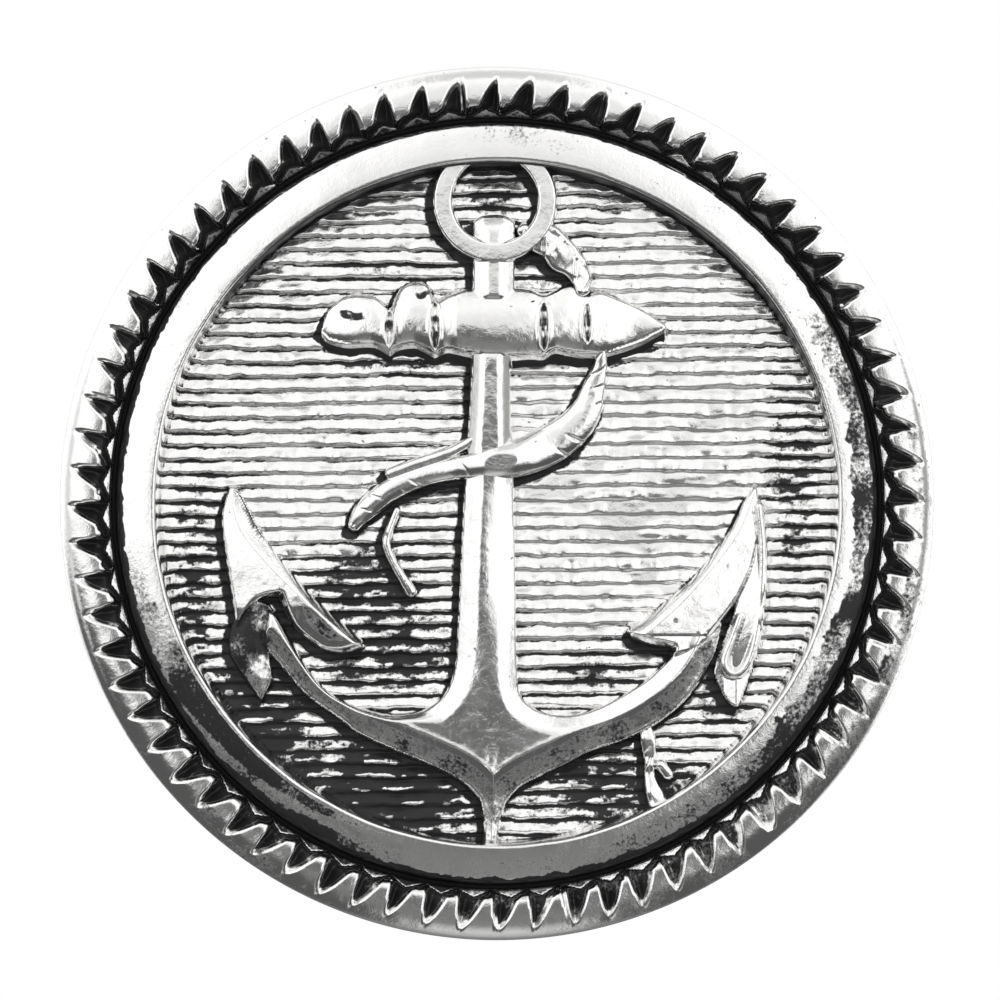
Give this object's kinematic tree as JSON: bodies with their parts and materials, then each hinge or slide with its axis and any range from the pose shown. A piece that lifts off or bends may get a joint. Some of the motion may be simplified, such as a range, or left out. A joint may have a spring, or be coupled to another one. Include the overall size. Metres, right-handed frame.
{
  "type": "anchor shank button",
  "caption": "Round metal coat button with an anchor in relief on a ribbed ground, a smooth ring, a rope-milled rim and a swivelling wire shank behind.",
  "frame": {"origin": "centre of the shank's eye, where the sewing thread passes", "axes": "-Y out of the face, +Z towards the anchor's ring, X across; the swivel axis is Y"},
  "size_m": [0.025, 0.0119, 0.025],
  "materials": {
    "face_silver": "antique silver plate on struck brass: polished high points, black patina in the recesses",
    "rim_silver": "antique silver plate, black patina between the rope teeth",
    "back_silver": "antique silver plate, dull, with turning marks",
    "eyelet_silver": "antique silver plate, rubbed bright on the flange",
    "backing_steel": "plain cold-rolled steel",
    "filler_board": "grey-brown pressed fibreboard",
    "shank_wire": "drawn steel wire with a thin grey plating",
    "washer_steel": "plain stamped steel"
  },
  "bodies": {
    "shank": {"shank_loop": "shank_wire", "foot_washer": "washer_steel"},
    "head": {"face_plate": "face_silver", "rim_ring": "rim_silver", "back_plate": "back_silver", "shank_eyelet": "eyelet_silver", "backing_disc": "backing_steel", "filler_disc": "filler_board"}
  },
  "joints": [
    {"name": "shank_swivel", "type": "hinge", "parent": "shank", "child": "head", "pos_m": [0, 0, 0], "axis": [0, 1, 0], "continuous": true}
  ]
}
